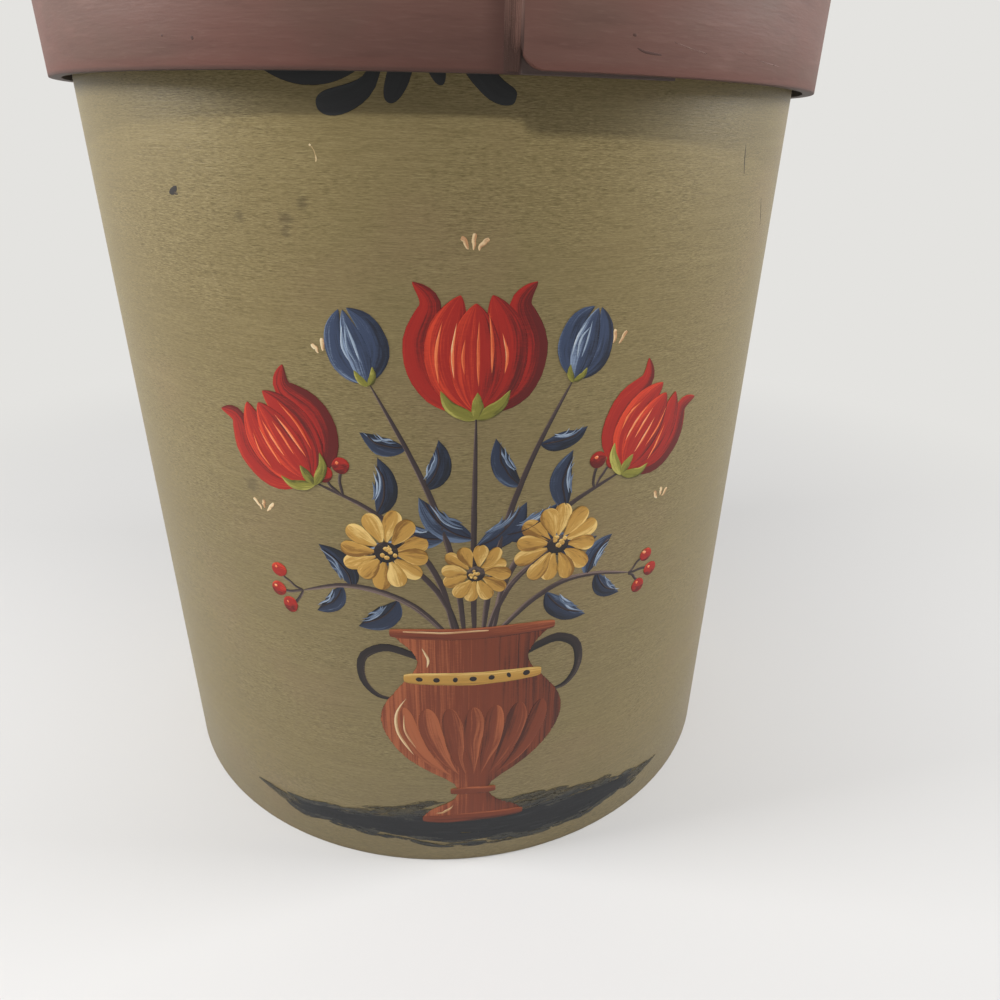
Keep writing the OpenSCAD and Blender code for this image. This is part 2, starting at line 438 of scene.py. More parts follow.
# Side lap tacks
# Fifteen flat-headed tacks in two staggered rows, driven through both layers of the lap and
# clinched inside. Their heads were painted with the band, and the paint has worn at the crowns.
def distance_on(start):
    """How far a place on the piece is from the box's axis."""
    flat = start.node("ShaderNodeVectorMath", {"operation": "MULTIPLY"}, {0: place_on(start), 1: (1, 1, 0)})
    return start.node("ShaderNodeVectorMath", {"operation": "LENGTH"}, {0: flat}, out="Value")


def tack_finish(name, coat, painted_from):
    """Dull steel, painted over where it is further than this from the box's axis."""
    finish, shader, start = new_finish(name)
    rust = streaks(start, 420, (1, 1, 1), detail=4.0)
    steel = rust.fade(0.42, 0.68).tint(srgb(128, 124, 118), srgb(92, 60, 38))
    chipped = streaks(start, 700, (1, 1, 1), detail=3.0, shift=6.0).fade(0.5, 0.6)
    painted = (painted_from < distance_on(start)) * (1 - 0.75 * chipped)
    put_on(
        shader, Base_Color=painted.tint(steel, coat), Metallic=0.85 * (1 - painted),
        Roughness=0.42 + 0.2 * rust, Normal=bumps(start, rust + 0.8 * painted, 0.4, 0.15 * MM),
    )
    return finish


refinish("side_lap_tacks", tack_finish("side_tack", olive_dark, side_radius))


# Bottom brads
# Eight headless brads of thin steel, set below the face of the band, filled and painted over.
# They are out of sight in the wood.
brad_steel = tack_finish("brad_steel", srgb(120, 112, 100), 1.0)
refinish("bottom_brads", brad_steel)


# Leaf strokes under the lid
# A spray of dark comma strokes at the front, each made with one press and pull of a round brush.
# Its lower tips show below the lid, and the rest is covered until the lid is lifted.
brush_stroke, given = new_tree("brush_stroke", {
    "Geometry": "Geometry", "Wall radius": "Float", "Coat": "Float", "Film": "Float", "Sunk": "Float",
    "Ragged": "Float", "Thin": "Float", "Paint": "Material",
})
size = given.out
# Each path becomes one stroke, with a crowned top and an underside sunk a little into the wall.
lines = given.node("GeometryNodeMeshToCurve", {}, {"Mesh": size("Geometry")})
lines = given.node("GeometryNodeCurveSplineType", {"spline_type": "CATMULL_ROM"}, {"Curve": lines})
end_stations, stations_per_metre = 20, 400
stations = end_stations + stations_per_metre * given.node("GeometryNodeSplineLength")
pulled = given.node("GeometryNodeResampleCurve", {}, {"Curve": lines, "Count": stations})
along = given.node("GeometryNodeSplineParameter")
along = along - end_crowding / full_turn * given.math("SINE", full_turn * along)
curve = given.node("GeometryNodeCurveOfPoint")
here, coat, tone = (
    given.node("GeometryNodeSampleCurve", {"mode": "FACTOR", "use_all_curves": False}, {
        "Curves": lines, "Value": kept(given, name), "Factor": along, "Curve Index": curve,
    }) for name in ("width", "coat", "tone")
)
spot = given.node("ShaderNodeSeparateXYZ", {}, {"Vector": here.out("Position")})
way = given.node("ShaderNodeSeparateXYZ", {}, {"Vector": here.out("Tangent")})
pulled = keep(
    pulled, along=along, wide=here.out("Value"), coat=coat.out("Value"), tone=tone.out("Value"),
    arc=spot.out("X"), height=spot.out("Y"), ahead=way.out("X"), climb=way.out("Y"),
)
half_top, half_under, tuck = 6, 2, 0.95
top_count, under_count = 2 * half_top + 1, 2 * half_under + 1
index = given.node("GeometryNodeInputIndex")
on_top = index < top_count - 0.5
across_under = tuck / half_under * (top_count + half_under - index)
across = on_top * (index / half_top - 1) + (1 - on_top) * across_under
stroke_mesh = swept(pulled, ring_of(given, top_count + under_count, across=across, top=on_top))
along, across, on_top, wide = (kept(given, name) for name in ("along", "across", "top", "wide"))
arc, height, belly, roundness = (kept(given, name) for name in ("arc", "height", "belly", "roundness"))
fullness = (
    (along / belly) ** roundness
    * ((1 - along) / (1 - belly)) ** (roundness * (1 - belly) / belly)
)
waver_pitch = 1 / (2.5 * MM)
waver = {"X": waver_pitch * arc, "Y": waver_pitch * height, "Z": kept(given, "seed") + 2 * across}
waver = {"Vector": given.node("ShaderNodeCombineXYZ", {}, waver), "Scale": 1.0, "Detail": 2.0}
waver = 2 * given.node("ShaderNodeTexNoise", {}, waver) - 1
waver = size("Ragged") * waver * wide / (wide + size("Thin"))
sideways = across * (wide * fullness + waver * fullness.clip())
crown = size("Coat") * kept(given, "coat") + size("Film") * (1 - across ** 4) * fullness.clip()
radius = size("Wall radius") + on_top * crown - (1 - on_top) * size("Sunk")
angle = (arc - kept(given, "climb") * sideways) / size("Wall radius") - math.pi / 2
stroke_mesh = moved(
    stroke_mesh, radius * given.math("COSINE", angle), radius * given.math("SINE", angle),
    height + kept(given, "ahead") * sideways,
)
merged = {"Geometry": stroke_mesh, "Distance": 0.002 * MM}
end_tree(given.node("GeometryNodeMergeByDistance", {}, merged), (size("Paint"), True))


def stroke_paint(name, dark, body, light, dry=0.0, gloss=0.5, sheen=paint_sheen):
    """Paint from a brush with lighter paint on its left side, streaked along each stroke. It breaks
    up at the edges of a stroke, and further in where the brush was dry."""
    dark, body, light = (srgb(*colour) for colour in (dark, body, light))
    finish, shader, start = new_finish(name)
    along, across, wide, tone, seed = (
        start.node("ShaderNodeAttribute", {"attribute_name": value}).out("Fac")
        for value in ("along", "across", "wide", "tone", "seed")
    )
    bristle_pitch = 1 / (0.9 * MM)
    hair = {"X": bristle_pitch * across * wide, "Y": 1.6 * along, "Z": seed}
    hair = start.node("ShaderNodeCombineXYZ", {}, hair)
    bristles = start.node("ShaderNodeTexNoise", {}, {"Vector": hair, "Scale": 0.7, "Detail": 2.0})
    hairs = start.node("ShaderNodeTexNoise", {}, {"Vector": hair, "Scale": 2.2, "Detail": 2.0})
    weave = wood_flecks(start)
    load = tone + 0.5 * across + 1.5 * (bristles - 0.5) + 1.1 * (hairs - 0.5) + 0.5 * (weave - 0.5)
    colour = load.fade(-0.05, -0.7).tint(body, dark)
    colour = load.fade(0.1, 0.85).tint(colour, light)
    inward = 1 - across.math("ABSOLUTE", across)
    edge = (1 - 0.78 * dry) * inward * (6 + wide / (0.4 * MM))
    cover = edge + (2.5 + dry) * (hairs - 0.42) + 2.5 * dry * (weave - 0.5)
    put_on(
        shader, Base_Color=colour, Roughness=gloss + 0.15 * bristles, Alpha=cover.fade(0.0, 0.7),
        Specular_IOR_Level=sheen,
        Normal=bumps(start, bristles + 0.5 * hairs + 0.4 * weave, 0.3, 0.12 * MM),
    )
    return finish


def stroke(path, width, belly=0.5, roundness=0.5, coat=1, tone=0.0):
    """One pull of the brush along a path of (arc, height) places. All sizes are in mm. The stroke is
    widest at belly, a share of its length, and width is half of that. Width, coat and tone may each
    be one value for each place."""
    widths, coats, tones = (
        value if isinstance(value, list) else [value] * len(path) for value in (width, coat, tone)
    )
    return {
        "path": path, "width": [w * MM for w in widths], "coat": coats, "tone": tones,
        "belly": belly, "roundness": roundness,
    }


def brush_on(
    name, body, paint, strokes,
    wall=side_radius, coat=0.05 * MM, film=0.05 * MM, ragged=0.3 * MM,
):
    """A piece of dried paint on a band: one raised stroke along each path."""
    seed_step = 0.73
    points, edges = [], []
    values = {key: [] for key in ("width", "belly", "roundness", "coat", "tone", "seed")}
    for number, pull in enumerate(strokes):
        first, count = len(points), len(pull["path"])
        points += [(arc * MM, height * MM, 0) for arc, height in pull["path"]]
        edges += [(first + i, first + i + 1) for i in range(count - 1)]
        values["seed"] += [seed_step * number] * count
        for key in ("width", "coat", "tone"):
            values[key] += pull[key]
        for key in ("belly", "roundness"):
            values[key] += [pull[key]] * count
    mesh = bpy.data.meshes.new(name + "_paths")
    mesh.from_pydata(points, edges, [])
    for key, numbers in values.items():
        mesh.attributes.new(key, "FLOAT", "POINT").data.foreach_set("value", numbers)
    sizes = {
        "Wall radius": wall, "Coat": coat, "Film": film, "Sunk": 0.02 * MM,
        "Ragged": ragged, "Thin": 1.2 * MM, "Paint": paint,
    }
    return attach(shaped(name, brush_stroke, sizes, start_mesh=mesh), body)


def off(place, lean, length):
    """The place at this length from another, in a direction leaning right of straight up."""
    lean = math.radians(lean)
    return (place[0] + length * math.sin(lean), place[1] + length * math.cos(lean))


charcoal = stroke_paint("charcoal_paint", (27, 27, 29), (34, 35, 36), (48, 49, 51))
fan_root = (-3.0, 228.0)
leaf_strokes = [
    stroke([(-37.8, 219.7), (-31.5, 219.6), (-25.7, 219.6), (-19.5, 219.7), (-13.6, 220)], 3.9, 0.5, 1.1),
    stroke([
        (-24.9, 212.6), (-21, 213.1), (-17.2, 214.3), (-14.6, 216), (-13, 218.3), (-10.5, 222.5), (-7, 228),
    ], 2.4, 0.18, 0.45),
    stroke([(-10.7, 213.1), (-9.5, 215.4), (-8.3, 217.9), (-6.6, 222), (-5, 227.5)], 2.2, 0.35, 0.45),
    stroke([(-0.2, 216.2), (-0.9, 218), (-2, 221.5), (-3, 227)], 1.75, 0.4),
    stroke([(14.1, 214.3), (10.6, 215.4), (7.6, 217.9), (3, 223), (0, 228)], 2.3, 0.35, 0.3),
]
for lean, length in ((-68, 24), (-38, 20), (-12, 17), (14, 18), (40, 20), (68, 24)):
    middle = off(fan_root, lean, 0.5 * length)
    bowed = (middle[0], middle[1] + 1.2)
    leaf_strokes.append(stroke([off(fan_root, lean, length), bowed, fan_root], 2.6, 0.2))
leaf_strokes.append(stroke([(-5.2, 228), (-0.8, 228)], 2.2))
brush_on("leaf_strokes", "box", charcoal, leaf_strokes, film=0.03 * MM, ragged=0.12 * MM)


# Painted bouquet
# A spray of garden flowers in a footed urn, brushed over the front of the side band in a few
# thick paints. Each petal and leaf is one pull of a brush that holds a dark and a light paint.
middle_arc = 6.0
draw = random.Random(11)


def between(start, end, bow=0.0, count=5):
    """Places from one to another, bowed to the left of the way by a share of its length."""
    (x0, z0), (x1, z1) = start, end
    places = []
    for step in range(count):
        t = step / (count - 1)
        out = 4 * bow * t * (1 - t)
        places.append((x0 + (x1 - x0) * t - out * (z1 - z0), z0 + (z1 - z0) * t + out * (x1 - x0)))
    return places


def part_way(path, share):
    """The place at this share of a path, and how far the path leans to the right there."""
    at = share * (len(path) - 1)
    first = min(int(at), len(path) - 2)
    (x0, z0), (x1, z1) = path[first:first + 2]
    t = at - first
    return (x0 + (x1 - x0) * t, z0 + (z1 - z0) * t), math.degrees(math.atan2(x1 - x0, z1 - z0))


def lay(strokes, shape, setting, width, belly, roundness, coat, tone):
    """Adds to these strokes one that is drawn upright round (0, 0), then scaled, leaned over and set
    down at its base."""
    base, lean, scale = setting
    c, s = math.cos(math.radians(lean)), math.sin(math.radians(lean))
    path = [(base[0] + scale * (x * c + z * s), base[1] + scale * (z * c - x * s)) for x, z in shape]
    strokes.append(stroke(path, width * scale, belly, roundness, coat, tone))


def dot(place, half, **more):
    return stroke([(place[0] - half, place[1]), (place[0] + half, place[1])], half, **more)


leaf = {"belly": 0.45, "roundness": 0.9}
thread = {"belly": 0.5, "roundness": 0.15}

# Along the patch of ground: the arc, the height and half of the patch's own height.
ground_outline = [
    (-73.6, 15.3, 0.5), (-67, 14.6, 1.5), (-55, 13.2, 2.8), (-45, 14.2, 3.2), (-26, 14.6, 4.4),
    (-9, 14.4, 7.2), (9, 13.7, 5.8), (28, 13.4, 6.2), (38, 12.9, 5.6), (50, 13.0, 3.5), (64, 11.9, 2.3),
    (70.6, 12.1, 0.6),
]
ground_from, ground_to = -62, 62


def ground_at(x, lift, spare):
    """A place in the patch of ground, lifted by a share of its half height less what a stroke takes."""
    spans = list(zip(ground_outline, ground_outline[1:]))
    (x0, z0, half0), (x1, z1, half1) = next((span for span in spans if x < span[1][0]), spans[-1])
    t = min(max((x - x0) / (x1 - x0), 0), 1)
    return (x, z0 + (z1 - z0) * t + lift * max(half0 + (half1 - half0) * t - spare, 0))


def ground_pull(x, lift, reach, width, tone, spare=0, shares=(-1, 0, 1)):
    """One pull along the ground, to this reach on both sides of its middle."""
    path = [ground_at(x + share * reach, lift, spare) for share in shares]
    return stroke(path, width, 0.5, 0.6, 1, tone)


ground_strokes, fringe_strokes, haze_strokes = [], [], []
for _ in range(130):
    x, lift = draw.uniform(ground_from + 6, ground_to - 6), draw.uniform(-0.9, 0.9)
    width = draw.uniform(0.6, 1.6)
    reach = min(draw.uniform(6, 18), x - ground_from, ground_to - x)
    pull = ground_pull(x, lift, reach, width, draw.uniform(-0.35, 0.25), width, (-1, -0.5, 0, 0.5, 1))
    ground_strokes.append(pull)
for _ in range(110):
    x = draw.uniform(ground_from + 2, ground_to - 3)
    lift, reach = draw.choice((-1, 1)) * draw.uniform(0.6, 1.25), draw.uniform(2.5, 7)
    fringe_strokes.append(ground_pull(x, lift, reach, draw.uniform(0.4, 1.1), draw.uniform(-0.4, 0.4)))
for _ in range(60):
    x, lift, reach = draw.gauss(8, 19), draw.uniform(0.9, 1.8), draw.uniform(2.5, 7)
    haze_strokes.append(ground_pull(x, lift, reach, draw.uniform(0.5, 1.4), draw.uniform(-0.4, 0.2)))
for _ in range(26):
    x = draw.choice((ground_from - 1, ground_to + 1)) + draw.gauss(0, 3)
    lift, reach = draw.uniform(-0.8, 0.8), draw.uniform(3, 7)
    haze_strokes.append(ground_pull(x, lift, reach, draw.uniform(0.5, 1.1), draw.uniform(-0.6, 0)))

# Up the urn: the height and half of the urn's width there.
urn_outline = [
    (17.5, 14.0), (19.5, 15.0), (22.5, 12.5), (26, 6.6), (30, 4.6), (34, 6.6), (40, 15.5), (47, 22.5),
    (55, 26.3), (62, 25.8), (69, 21.5), (75, 16.8), (79, 15.4), (83, 17.4), (86.5, 20.8), (88.5, 21.6),
]
urn_mouth, urn_band = urn_outline[-1][0], 72.8
urn_strokes = [stroke([(0, z) for z, _ in urn_outline], [w for _, w in urn_outline], 0.5, 0.0, 2)]
for rib in (-3, -2, -1, 0, 1, 2, 3):
    path = between((rib * 6.6, 62.5), (rib * 2.2, 36.5), 0.035 * rib)
    urn_strokes.append(stroke(path, 3.0, 0.3, 0.5, 3, 0.2 - 0.14 * rib))
for height, half, width, tone in ((88, 22.6, 1.8, 0.15), (18.6, 15.6, 1.8, -0.2), (30, 6.6, 1.4, 0.0)):
    rim = between((-half, height), (half, height))
    urn_strokes.append(stroke(rim, width, **thread, coat=3, tone=tone))

handle = [(13.0, 79.0), (17.5, 81.6), (24, 83), (30.2, 79), (30.8, 71.5), (26.8, 66), (21, 65)]
dark_strokes = [stroke([(side * x, z) for x, z in handle], 1.35, 0.35, 0.3, 1) for side in (-1, 1)]
for x in range(-15, 16, 5):
    dark_strokes.append(dot((x, urn_band), 0.85, coat=4, tone=-0.3))

petal_shapes = [
    ([(0, 0), (-0.36, 0.22), (-0.47, 0.58), (-0.36, 0.92), (-0.5, 1.1)], 0.15, -0.3),
    ([(0, 0), (0.36, 0.22), (0.47, 0.58), (0.36, 0.92), (0.5, 1.1)], 0.15, -0.35),
    ([(0, 0), (-0.2, 0.3), (-0.24, 0.66), (-0.13, 1.0)], 0.19, 0.0),
    ([(0, 0), (0.2, 0.3), (0.24, 0.66), (0.13, 1.0)], 0.19, -0.15),
    ([(0, 0.02), (-0.01, 0.45), (0, 0.93)], 0.22, 0.12),
]
red_strokes, flame_strokes, sepal_strokes = [], [], []


def tulip(base, lean, scale):
    """Five petals with flames up them, and three sepals at the base."""
    setting = (base, lean, scale)
    for layer, (shape, width, tone) in enumerate(petal_shapes):
        lay(red_strokes, shape, setting, width, 0.5, 0.75, 2 + layer // 2, tone)
    for x in (-0.31, -0.19, -0.1, 0.02, 0.12, 0.24):
        low, high = draw.uniform(0.2, 0.36), draw.uniform(0.62, 0.88)
        flame = [(x, low), (1.08 * x, 0.5 * (low + high)), (0.9 * x, high)]
        lay(flame_strokes, flame, setting, 0.014, **leaf, coat=5, tone=draw.uniform(-0.4, 0.3))
    for x in (-0.3, 0.0, 0.28):
        sepal = [(0, -0.05), (0.7 * x, 0.06), (x, 0.2)]
        lay(sepal_strokes, sepal, setting, 0.055, 0.4, 0.6, 5, draw.uniform(-0.2, 0.3))


ochre_strokes = [stroke(between((-19.5, urn_band), (19.5, urn_band)), 2.1, **thread, coat=3)]


def daisy(at, reach):
    """A ring of petals round a dark middle with light dots in it."""
    petals = 12
    for petal in range(petals):
        lean = 360 / petals * (petal + 0.3) + draw.uniform(-5, 5)
        outer = off(at, lean, reach * draw.uniform(0.9, 1.06))
        path = between(outer, off(at, lean, 0.18 * reach), draw.uniform(-0.06, 0.06), 4)
        tone = draw.uniform(-0.25, 0.35)
        ochre_strokes.append(stroke(path, 0.215 * reach, 0.3, 0.5, 3 + petal % 2, tone))
    dark_strokes.append(dot(at, 0.27 * reach, coat=5))
    for _ in range(9):
        spot = off(at, draw.uniform(0, 360), 0.2 * reach * math.sqrt(draw.random()))
        ochre_strokes.append(dot(spot, 0.055 * reach, coat=6, tone=0.3))


slate_strokes, glint_strokes = [], []


def bud(base, lean, scale):
    """Three closed petals with pale glints up them, and two sepals at the base."""
    setting = (base, lean, scale)
    for x, tone, layer in ((-0.24, -0.1, 2), (0.24, -0.25, 2), (0.0, 0.1, 3)):
        petal = [(0, 0), (x, 0.35), (0.9 * x, 0.75), (0.25 * x, 1.0)]
        lay(slate_strokes, petal, setting, 0.17, 0.45, 0.7, layer, tone)
    for x in (-0.13, -0.07, 0.0):
        glint = [(x, 0.3), (1.3 * x, 0.55), (0.6 * x, draw.uniform(0.7, 0.88))]
        lay(glint_strokes, glint, setting, 0.018, **leaf, coat=4, tone=draw.uniform(-0.3, 0.3))
    for x in (-0.14, 0.14):
        sepal = [(0, -0.04), (0.7 * x, 0.06), (x, 0.2)]
        lay(sepal_strokes, sepal, setting, 0.05, 0.4, 0.6, 4, draw.uniform(-0.3, 0.2))


stem_strokes, leaf_pulls = [], []


def leaf_on(stem, share, turn, length, width):
    """A leaf from a place on a stem, with a pale half along its upper side and a dark rib."""
    base, lean = part_way(stem, share)
    lean += turn + draw.uniform(-6, 6)
    length *= draw.uniform(0.92, 1.08)
    bow = -0.13 * math.copysign(1, turn)
    tip = off(base, lean, length)
    leaf_pulls.append(stroke(between(base, tip, bow), width, **leaf, coat=1, tone=draw.uniform(-0.2, 0.05)))
    upper = lean - 90 * math.copysign(1, turn)
    for step, reach in ((0.5, 0.5), (0.3, 0.62), (0.68, 0.34)):
        start = off(off(base, lean, draw.uniform(0.2, 0.34) * length), upper, step * 0.62 * width)
        path = between(start, off(start, lean, reach * length), bow)
        glint_strokes.append(stroke(path, 0.1 * width, **leaf, coat=2, tone=draw.uniform(-0.9, -0.1)))
    rib = between(off(base, lean, 1), off(tip, lean, -2), bow)
    stem_strokes.append(stroke(rib, 0.24, **thread, coat=3, tone=-0.4))


def berries_on(stem, share, turns, length):
    """Red berries on short stalks, from a place on a stem."""
    base, lean = part_way(stem, share)
    for turn in turns:
        at = off(base, lean + turn, length * draw.uniform(0.85, 1.1))
        stem_strokes.append(stroke(between(base, at, 0.08), 0.4, **thread, coat=1))
        red_strokes.append(dot(at, 2.3, coat=2, tone=-0.1))
        flame_strokes.append(dot((at[0] - 0.8, at[1] + 0.8), 0.45, coat=4, tone=0.2))


stem = between((0, urn_mouth), (0.5, 150))
stem_strokes.append(stroke(stem, 0.85, 0.3, 0.2))
for share, turn in ((0.42, 48), (0.46, -48)):
    leaf_on(stem, share, turn, 18, 3.3)
for side in (-1, 1):
    to_bud = between((2.5 * side, urn_mouth), (24 * side, 157), 0.06 * side)
    to_tulip = between((5 * side, urn_mouth), (40 * side, 131), 0.17 * side)
    to_daisy = between((4 * side, urn_mouth), (22 * side, 113), 0.12 * side)
    to_berries = between((7 * side, urn_mouth), (46 * side, 98), 0.2 * side)
    for stem in (to_bud, to_tulip, to_daisy, to_berries):
        stem_strokes.append(stroke(stem, 0.85, 0.3, 0.2, 1, draw.uniform(-0.1, 0.3)))
    for stem, share, turn, length, width in (
        (to_bud, 0.4, 50, 16, 3.1), (to_bud, 0.6, -42, 14, 2.8), (to_bud, 0.76, 44, 12, 2.4),
        (to_tulip, 0.52, 56, 17, 3.4), (to_tulip, 0.7, -50, 15, 3.0),
        (to_berries, 0.36, 62, 15, 3.3), (to_berries, 0.66, -56, 14, 3.0), (to_berries, 0.74, 48, 12, 2.6),
    ):
        leaf_on(stem, share, side * turn, length, width)
    berries_on(to_berries, 1.0, (-52 * side, -8 * side, 34 * side), 8.0)
    berries_on(to_tulip, 0.86, (-66 * side, -30 * side), 8.5)
    bud((24 * side, 157), 16 * side, 17)
    tulip((40 * side, 131), 34 * side, 24)
    daisy((22 * side, 113), 11.5)
tulip((0.5, 150), 0, 27)
daisy((0.5, 107), 9.0)

light_strokes = [
    stroke([(-17.5, 45), (-21.4, 53), (-21.6, 60), (-18.6, 66)], 0.5, **leaf, coat=4, tone=-0.3),
    stroke([(-16.4, 47), (-19.6, 54), (-19.6, 60)], 0.3, **leaf, coat=4, tone=-0.6),
    stroke([(-12.6, 77), (-12.2, 80), (-14, 83.6)], 0.45, **leaf, coat=4, tone=-0.3),
    stroke(between((-19, 88.8), (4, 88.8)), 0.3, **thread, coat=4, tone=-0.5),
    stroke(between((-11, 21), (-6, 24.2), -0.1), 0.4, **leaf, coat=4, tone=-0.4),
]
for x, z in ((0, 185), (-34, 162), (34, 163), (-55, 119), (55, 118)):
    for lean in (-38, 0, 38):
        tick = between(off((x, z), lean, 1.6), off((x, z), lean, draw.uniform(4, 5)))
        light_strokes.append(stroke(tick, 0.5, 0.7, 0.5, tone=draw.uniform(-0.5, 0)))


hand_slip, hand_grip, hand_load = 0.16, 0.05, 0.1


def by_hand(pull):
    """The same stroke as a hand makes it, a little off in its path, its width and its paint. A wide
    one is laid more steadily."""
    steady = max(1, max(pull["width"]) / (3 * MM))
    slip = hand_slip / steady
    path = [(x + middle_arc + draw.gauss(0, slip), z + draw.gauss(0, slip)) for x, z in pull["path"]]
    grip = 1 + draw.gauss(0, hand_grip / steady)
    widths = [width * grip for width in pull["width"]]
    lighter = draw.gauss(0, hand_load)
    return {**pull, "path": path, "width": widths, "tone": [tone + lighter for tone in pull["tone"]]}


for name, pulls, paint, dark, body, light, dry in (
    ("haze", haze_strokes, "slate_haze", (64, 60, 51), (78, 72, 57), (96, 88, 66), 1.22),
    ("fringe", fringe_strokes, "slate_fringe", (42, 43, 44), (58, 58, 55), (80, 77, 66), 1.16),
    ("ground", ground_strokes, "slate_ground", (17, 19, 22), (26, 28, 32), (46, 48, 50), 0.9),
    ("stems", stem_strokes, "stem_brown", (34, 25, 27), (60, 47, 47), (137, 116, 108), 0.0),
    ("leaves", leaf_pulls, "leaf_slate", (20, 25, 36), (40, 50, 72), (103, 121, 148), 0.0),
    ("urn", urn_strokes, "urn_rust", (74, 30, 17), (125, 57, 31), (179, 99, 60), 0.0),
    ("tulips", red_strokes, "tulip_red", (94, 13, 10), (166, 31, 20), (220, 69, 38), 0.0),
    ("daisies", ochre_strokes, "daisy_ochre", (139, 96, 36), (197, 150, 69), (242, 206, 128), 0.0),
    ("buds", slate_strokes, "bud_blue", (25, 30, 45), (54, 67, 94), (143, 161, 188), 0.0),
    ("handles", dark_strokes, "umber_dark", (22, 18, 18), (40, 31, 31), (108, 92, 85), 0.0),
    ("sepals", sepal_strokes, "sepal_green", (81, 78, 27), (132, 128, 49), (193, 184, 94), 0.0),
    ("glints", glint_strokes, "pale_slate", (94, 110, 134), (159, 175, 195), (222, 231, 237), 0.0),
    ("flames", flame_strokes, "flame_orange", (206, 74, 38), (242, 125, 74), (242, 197, 146), 0.0),
    ("lights", light_strokes, "cream_lights", (193, 143, 99), (235, 206, 159), (242, 242, 213), 0.0),
):
    paint = stroke_paint(paint, dark, body, light, dry=dry)
    brush_on("painted_" + name, "box", paint, [by_hand(pull) for pull in pulls])


# Marks of use
# Small nicks that show the pale wood, two dark spots and two dark hairlines in the olive paint, from
# years on a shelf. Each is a thin stroke on the face of the band.
pale_wood = stroke_paint("nick_pale", (192, 164, 118), (216, 192, 148), (232, 216, 180))
dark_dirt = stroke_paint("dirt_dark", (36, 29, 26), (62, 51, 38), (92, 79, 53), dry=0.3)
nicks = [
    stroke([(-26.9, 205.5), (-26.2, 204.6), (-25.9, 203.6), (-25.8, 202.6)], 0.07, 0.5, 0.2, 1, -0.9),
    dot((-26.9, 205.4), 0.22),
    stroke([(-25.9, 203.6), (-25.8, 203.0), (-25.9, 202.4)], 0.17, 0.6, 0.4, 1, -0.2),
    stroke([(-30.9, 135.5), (-30.5, 135.0), (-30.0, 135.2), (-29.6, 135.9), (-29.5, 136.5)], 0.16),
]
dirt = [
    stroke([(-65.0, 194.8), (-63.7, 195.3), (-62.8, 195.8), (-62.2, 196.4)], 0.75, 0.5, 0.6, 1, -0.9),
    stroke([(-63.6, 195.2), (-62.8, 194.9), (-62.0, 194.8)], 0.36, 0.4, 0.5, 1, 0.2),
    stroke([(-45.6, 145.4), (-45.0, 144.6)], 0.28, 0.5, 0.5, 1, -0.5),
    stroke([(78.7, 206.3), (79.2, 203), (80.0, 200.0)], 0.2, 0.6, 0.4),
    stroke([(94.4, 194.0), (96.4, 190.4), (98.0, 186.8)], 0.16, 0.5, 0.4),
]
brush_on("paint_nicks", "box", pale_wood, nicks, coat=0.01 * MM, film=0.02 * MM, ragged=0.2 * MM)
brush_on("paint_dirt", "box", dark_dirt, dirt, coat=0.01 * MM, film=0.02 * MM, ragged=0.4 * MM)


# Lid band
# A shorter strip, bent the same way and lapped at the front, where the thick outer end makes a
# step with rounded corners. It is brushed with a matte dusty rose paint.
rose_body, rose_light, rose_dark = srgb(113, 81, 72), srgb(135, 102, 92), srgb(88, 61, 54)
lid_radius = 107.4 * MM
lid_overlap, lid_step = 35 * MM, 2.6 * MM
lid_end_at = math.radians(-82.7)
lid_foot, lid_top = (corner.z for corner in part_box("lid_band"))
# The colour of the painted shade on the lid band's underside and under its lap.
painted_lap_shade = srgb(86, 76, 72)
rose_sheen = 0.25


def rose_finish(name, stretch):
    """The lid's paint, brushed out along the axis that is stretched least, its shader, a wire to start
    from and a wire to its colour."""
    finish, shader, start = new_finish(name)
    brush_marks = streaks(start, 60, stretch, detail=3.0, roughness=0.5)
    fine_marks = streaks(start, 240, stretch, detail=2.0, shift=4.0)
    browned = streaks(start, 34, (1, 1, 1.8), detail=3.0, shift=8.0)
    blushed = streaks(start, 22, (1, 1, 1.6), detail=3.0, shift=3.0)
    colour = layered(
        rose_body,
        (0.6 * browned.fade(0.42, 0.68), srgb(104, 81, 71)),
        (0.5 * blushed.fade(0.46, 0.68), srgb(116, 77, 68)),
        (0.3 * brush_marks.fade(0.54, 0.78), rose_light),
        (0.3 * brush_marks.fade(0.46, 0.26), rose_dark),
        (0.14 * fine_marks.fade(0.56, 0.72), srgb(140, 110, 99)),
        (0.14 * fine_marks.fade(0.44, 0.28), rose_dark),
        (0.6 * specks(start, 17 * MM, 0.7 * MM, 0.3), srgb(66, 43, 38)),
        (0.4 * specks(start, 13 * MM, 0.5 * MM, 0.3, 0.6), srgb(156, 125, 114)),
    )
    put_on(
        shader, Roughness=0.5 + 0.14 * fine_marks, Specular_IOR_Level=rose_sheen,
        Normal=bumps(start, brush_marks + 0.6 * fine_marks, 0.3, 0.2 * MM),
    )
    return finish, shader, start, colour


rose_paint, shader, start, colour = rose_finish("rose_paint", (1, 1, 8))
above_foot, from_face = height_on(start) - lid_foot, distance_on(start) - lid_radius
across = start.node("ShaderNodeSeparateXYZ", {}, {"Vector": place_on(start)})
past_end = (start.math("ARCTAN2", across.out("Y"), across.out("X")) - lid_end_at) * lid_radius
rubbed = above_foot.fade(3 * MM, 1 * MM)
# Darker along the lowest mm of the band, where its eased edge turns under: painted shade with some grime.
edge_grime_and_shade = above_foot.fade(0.9 * MM, 0.2 * MM)
